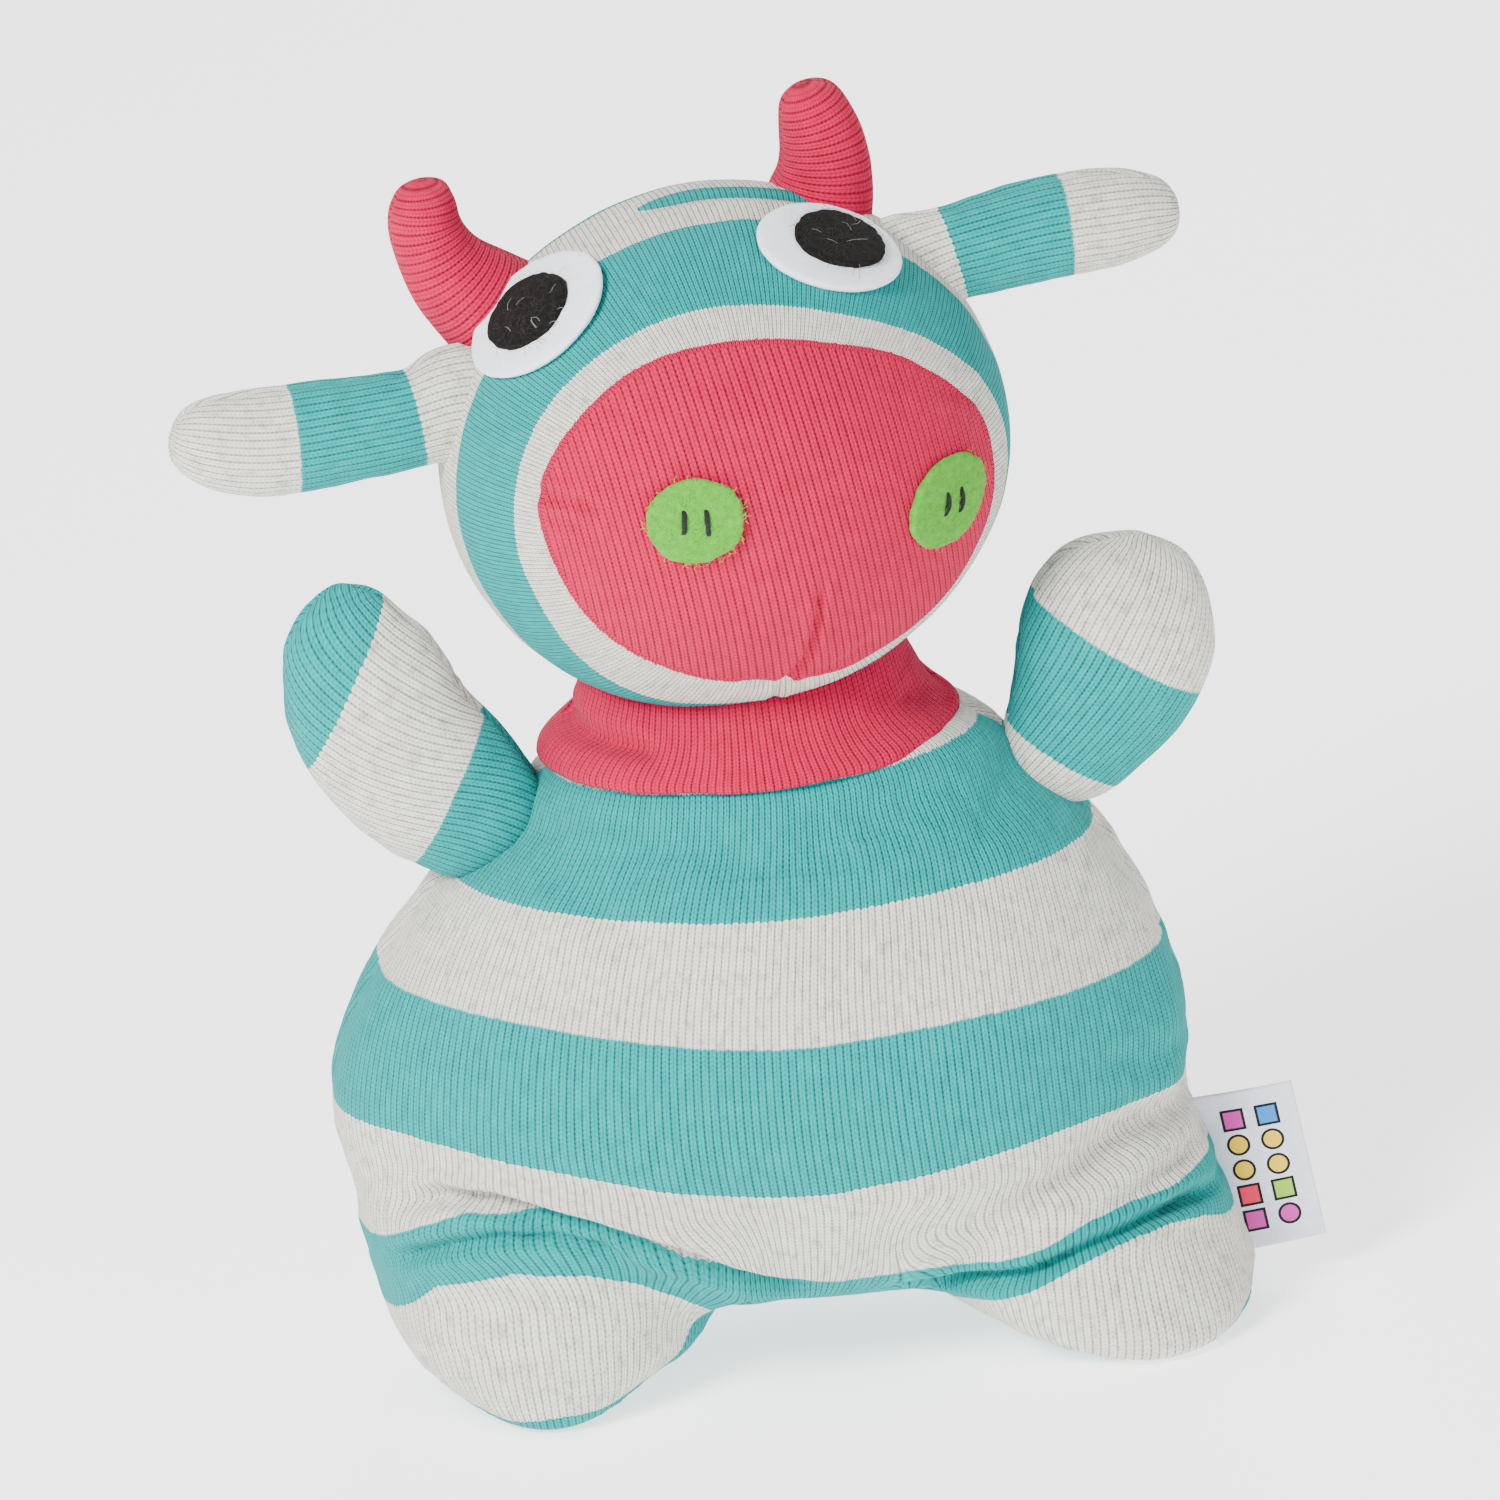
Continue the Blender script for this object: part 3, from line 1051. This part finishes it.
def fibres(name, spot, base, count, length, material, seed):
    """Loose felt fibres as thin curved ribbons lying just over a felt."""
    rng = np.random.default_rng(seed)
    steps, width = 6, 0.09
    ribbon = grid_faces(steps + 1, 2, False, False)[0]
    verts, faces = [], []
    for _ in range(count):
        r = math.sqrt(rng.uniform(0, 1.04))
        at = rng.uniform(0, 2 * math.pi)
        heading = rng.uniform(0, 2 * math.pi)
        bend = rng.uniform(-1.6, 1.6)
        reach = length * rng.uniform(0.5, 1.0)
        x, y = r * spot[2] * math.cos(at), r * spot[3] * math.sin(at)
        faces += [[len(verts) + corner for corner in face] for face in ribbon]
        for k in range(steps + 1):
            turn = heading + bend * k / steps
            x += reach / steps * math.cos(turn)
            y += reach / steps * math.sin(turn)
            lift = base + 0.12 + 0.35 * math.sin(math.pi * k / steps) * rng.uniform(0.2, 1.0)
            for half in (-width / 2, width / 2):
                verts.append((x - half * math.sin(turn), y + half * math.cos(turn), lift))
    x, y, lift = (column[:, None] for column in np.asarray(verts).T)
    point, _, across, up = head_point(spot[0], spot[1])
    ball = on_ball(point + x * across + y * up)
    uvs = np.zeros((4 * len(faces), 2))
    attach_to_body(new_object(name, on_head(ball + ball_normals(ball) * lift), faces, uvs, material), "head")


def thread(name, spot, base, spacing, length, turn, material):
    """Two short stitches that bow up out of the felt and dive back into it."""
    steps, sides, radius = 14, 10, 0.6
    verts, faces, uvs = [], [], []
    tube, corners = grid_faces(steps + 1, sides, True, False)
    tube += [list(range(sides))[::-1], list(range(steps * sides, (steps + 1) * sides))]
    point, n, across, up = head_point(spot[0], spot[1])
    sideways, forward = turned(0.0, 1.0, turn)
    tangent = sideways * across + forward * up
    sidewards = np.cross(tangent, n)
    for number, offset in enumerate((-spacing / 2, spacing / 2)):
        faces += [[len(verts) + corner for corner in face] for face in tube]
        uvs += corners + [(0, 0)] * (2 * sides)
        for k in range(steps + 1):
            q = k / steps
            x, y = turned(offset + 0.25 * math.sin(3 * q + number),
                          (q - 0.5) * length * (1.0 if number else 0.92), turn)
            height = base - 0.75 + 1.15 * math.sin(math.pi * q) ** 0.45
            centre = on_ball(point + x * across + y * up) + n * height
            for m in range(sides):
                w = 2 * math.pi * m / sides
                twist = radius * (1 + 0.12 * math.sin(3 * w + 9 * q))
                verts.append(centre + twist * (math.cos(w) * sidewards + math.sin(w) * n))
    obj = new_object(name + "_thread", on_head(np.asarray(verts)), faces, uvs, material)
    attach(obj, "head", name)


# direction from the head's middle (azimuth, elevation), half length and half width, turn
EYE_WHITE = {"left": (56.2, 48.2, 17.0, 13.5, -40.0), "right": (-67.0, 52.6, 18.0, 15.4, 35.0)}
EYE_PUPIL = {"left": (58.6, 47.3, 10.6, 8.4, -36.0), "right": (-67.6, 52.0, 10.4, 9.2, 30.0)}
NOSTRIL = {"left": (44.8, -13.2, 12.6, 10.0, 0.0), "right": (-15.8, 4.8, 10.6, 9.1, 0.0)}
STIFF = 0.45             # how much of the head's curve a felt keeps flat
# by slot: colour, lighter and darker fibres, sheen and grain
FELT_LOOKS = {
    "white_felt": ((0.80, 0.84, 0.90, 1), (0.86, 0.89, 0.94, 1), (0.66, 0.70, 0.78, 1), 0.3, 0.7),
    "black_felt": ((0.005, 0.0045, 0.004, 1), (0.012, 0.011, 0.010, 1), (0.001, 0.001, 0.001, 1), 0.03, 1.2),
    "green_felt": ((0.055, 0.290, 0.016, 1), (0.110, 0.400, 0.035, 1), (0.014, 0.120, 0.004, 1), 0.1, 1.2),
    "black_thread": ((0.010, 0.010, 0.010, 1), (0.03, 0.03, 0.03, 1), (0.002, 0.002, 0.002, 1), 0.1, 1.0),
}


def face():
    white, black, green, string = (felt_material(slot, *look) for slot, look in FELT_LOOKS.items())
    lint = Graph("pale_lint").finish((0.22, 0.22, 0.22, 1), None, 0.9, 0.2)
    soot = Graph("black_fibre").finish((0.028, 0.026, 0.024, 1), None, 0.95, 0.05)
    leaf = Graph("green_fibre").finish((0.12, 0.44, 0.04, 1), None, 0.95, 0.05)
    for side, seed in (("left", 11), ("right", 12)):
        felt(side + "_eye_white_felt", EYE_WHITE[side], 0.1, 1.6, white, 0.012, seed)
        felt(side + "_eye_pupil_felt", EYE_PUPIL[side], 1.6, 1.5, black, 0.06, seed + 2)
        felt(side + "_nostril_felt", NOSTRIL[side], 0.0, 1.7, green, 0.05, seed + 4)
        thread(side + "_nostril_stitches", NOSTRIL[side], 1.7, 5.0, 6.4, -14.0, string)
        fibres(side + "_pupil_fuzz", EYE_PUPIL[side], 3.1, 260, 2.6, soot, seed)
        fibres(side + "_pupil_lint", EYE_PUPIL[side], 3.2, 10, 4.0, lint, seed + 20)
        fibres(side + "_nostril_fuzz", NOSTRIL[side], 1.9, 260, 1.7, leaf, seed + 6)


# ------------------------------------------------------------------ label


def label_material():
    """Woven ribbon with two columns of plain coloured shapes, outlined."""
    g = Graph("label_ribbon")
    u, v = g.uv()
    base = g.mix(g.span(g.noise(g.join(u, v), 0.5), 0.3, 0.7), (0.66, 0.67, 0.76, 1), (0.74, 0.75, 0.83, 1))
    cell_u = g.math("DIVIDE", g.sub(u, 6.0), 7.5)
    cell_v = g.math("DIVIDE", g.sub(v, 3.5), 6.0)
    inside = g.mul(g.math("COMPARE", cell_u, 1.0, 1.0), g.math("COMPARE", cell_v, 2.5, 2.5))
    fu = g.sub(g.math("FRACT", cell_u), 0.5)
    fv = g.mul(g.sub(g.math("FRACT", cell_v), 0.5), 0.8)
    pick = g.random(g.join(g.math("FLOOR", cell_u), g.math("FLOOR", cell_v)))
    ramp = g.tree.nodes.new("ShaderNodeValToRGB")
    ramp.color_ramp.interpolation = "CONSTANT"
    colors = [(0.0, (0.75, 0.03, 0.08, 1)), (0.22, (0.03, 0.22, 0.62, 1)), (0.42, (0.80, 0.52, 0.03, 1)),
              (0.62, (0.30, 0.55, 0.04, 1)), (0.80, (0.55, 0.05, 0.35, 1))]
    for index, (at, color) in enumerate(colors):
        stop = ramp.color_ramp.elements[index] if index < 2 else ramp.color_ramp.elements.new(at)
        stop.position = at
        stop.color = color
    g.put(ramp.inputs[0], pick)
    round_d = g.math("SQRT", g.add(g.mul(fu, fu), g.mul(fv, fv)))
    square_d = g.math("MAXIMUM", g.math("ABSOLUTE", fu), g.math("ABSOLUTE", fv))
    choose = g.math("GREATER_THAN", g.math("FRACT", g.mul(pick, 7.0)), 0.5)
    dist = g.add(g.mul(round_d, choose),
                  g.mul(square_d, g.sub(1.0, choose)))
    shape = g.mul(g.math("LESS_THAN", dist, 0.34), inside)
    core = g.mul(g.math("LESS_THAN", dist, 0.26), inside)
    color = g.mix(shape, base, (0.01, 0.01, 0.015, 1))
    color = g.mix(core, color, ramp.outputs[0])
    weft = g.math("SINE", g.mul(v, 2 * math.pi / 0.35))
    warp = g.math("SINE", g.mul(u, 2 * math.pi / 0.45))
    return g.finish(color, g.bump(g.mul(weft, warp), 0.3, 0.0001), 0.55, 0.1)


LABEL_SIZE = (24.0, 37.0)
LABEL_THICK = 0.7
LABEL_ROOT = np.array([-6.2, 0, -2.8])   # from the flap's hinge, inside the side seam


def label():
    lean = math.radians(6.0)
    rows, cols = 60, 40
    width, height = LABEL_SIZE
    s, r = np.linspace(0, 1, cols), np.linspace(0, 1, rows)[:, None]
    x = s * width * np.ones_like(r)
    z = (r - 0.5) * height * np.ones_like(s)
    wave = -2.2 * np.sin(math.pi * 0.55 * s) * (0.7 + 0.6 * r) + 0.5 * np.sin(3.0 * r + 1.5 * s) * s
    local = np.stack([x, wave, z], axis=-1)
    matrix = np.array([[math.cos(lean), 0, -math.sin(lean)], [0, 1, 0], [math.sin(lean), 0, math.cos(lean)]])
    front = JOINT["label_flap"] + LABEL_ROOT + local @ matrix.T
    uv = np.stack([x, z + height / 2], axis=-1)
    obj = cloth("side_label", front, uv, label_material(), (100, 40, 33))
    skin = obj.modifiers.new("thickness", "SOLIDIFY")
    skin.thickness = LABEL_THICK * MM
    attach(obj, "label", "side_label")


# ------------------------------------------------------------------ build, light and camera


def hide_fill():
    """The fibre fill is sealed inside its cover."""
    pairs = [("torso", "_front_panel"), ("neck", "_collar"), ("head", "_cover")]
    for side in ("left", "right"):
        pairs += [(side + "_leg", "_cover"), (side + "_arm", "_front_panel"), (side + "_ear", "_front_panel"),
                  (side + "_horn", "_cover")]
    for part, cover in pairs:
        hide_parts(part + "_stuffing")


def area_light(name, place, target, size, power):
    light = bpy.data.lights.new(name, "AREA")
    light.shape = "DISK"
    light.size = size
    light.energy = power
    obj = bpy.data.objects.new(name, light)
    obj.location = place
    obj.rotation_euler = (Vector(target) - Vector(place)).to_track_quat("-Z", "Y").to_euler()
    bpy.context.scene.collection.objects.link(obj)


def studio():
    mesh = bpy.data.meshes.new("floor")
    mesh.from_pydata([(-3, -3, 0), (3, -3, 0), (3, 3, 0), (-3, 3, 0)], [], [(0, 1, 2, 3)])
    g = Graph("floor_paper")
    g.shader.inputs["Emission Color"].default_value = (1, 1, 1, 1)
    g.shader.inputs["Emission Strength"].default_value = 1.6
    mesh.materials.append(g.finish((0.90, 0.90, 0.90, 1), None, 0.85, 0.0))
    floor = bpy.data.objects.new("floor", mesh)
    bpy.context.scene.collection.objects.link(floor)
    world = bpy.data.worlds.new("studio")
    bpy.context.scene.world = world
    world.use_nodes = True
    background = world.node_tree.nodes["Background"]
    background.inputs[0].default_value = (1.0, 1.0, 1.0, 1)
    background.inputs[1].default_value = 0.56
    middle = (0, 0, 0.13)
    area_light("key", (-0.85, -1.0, 1.2), middle, 0.6, 56.0)
    area_light("fill", (0.9, -1.2, 0.5), middle, 1.0, 8.0)
    area_light("back", (0.3, 1.1, 1.2), middle, 0.9, 16.0)


def camera():
    data = bpy.data.cameras.new("camera")
    obj = bpy.data.objects.new("camera", data)
    bpy.context.scene.collection.objects.link(obj)
    elevation, roll, distance = math.radians(20.0), math.radians(7.0), 5.0
    target = Vector((-0.0015, 0, 0.1357))
    place = target + distance * Vector((0, -math.cos(elevation), math.sin(elevation)))
    turn = (target - place).to_track_quat("-Z", "Y").to_matrix().to_4x4()
    obj.matrix_world = Matrix.Translation(place) @ turn @ Matrix.Rotation(-roll, 4, "Z")
    data.sensor_width = 36.0
    data.lens = 36.0 * distance / 0.3225
    data.clip_start = 0.5
    bpy.context.scene.camera = obj


body()
for side in ("left", "right"):
    arm(side)
    ear(side)
    horn(side)
collar()
head()
face()
label()
hide_fill()
studio()
camera()
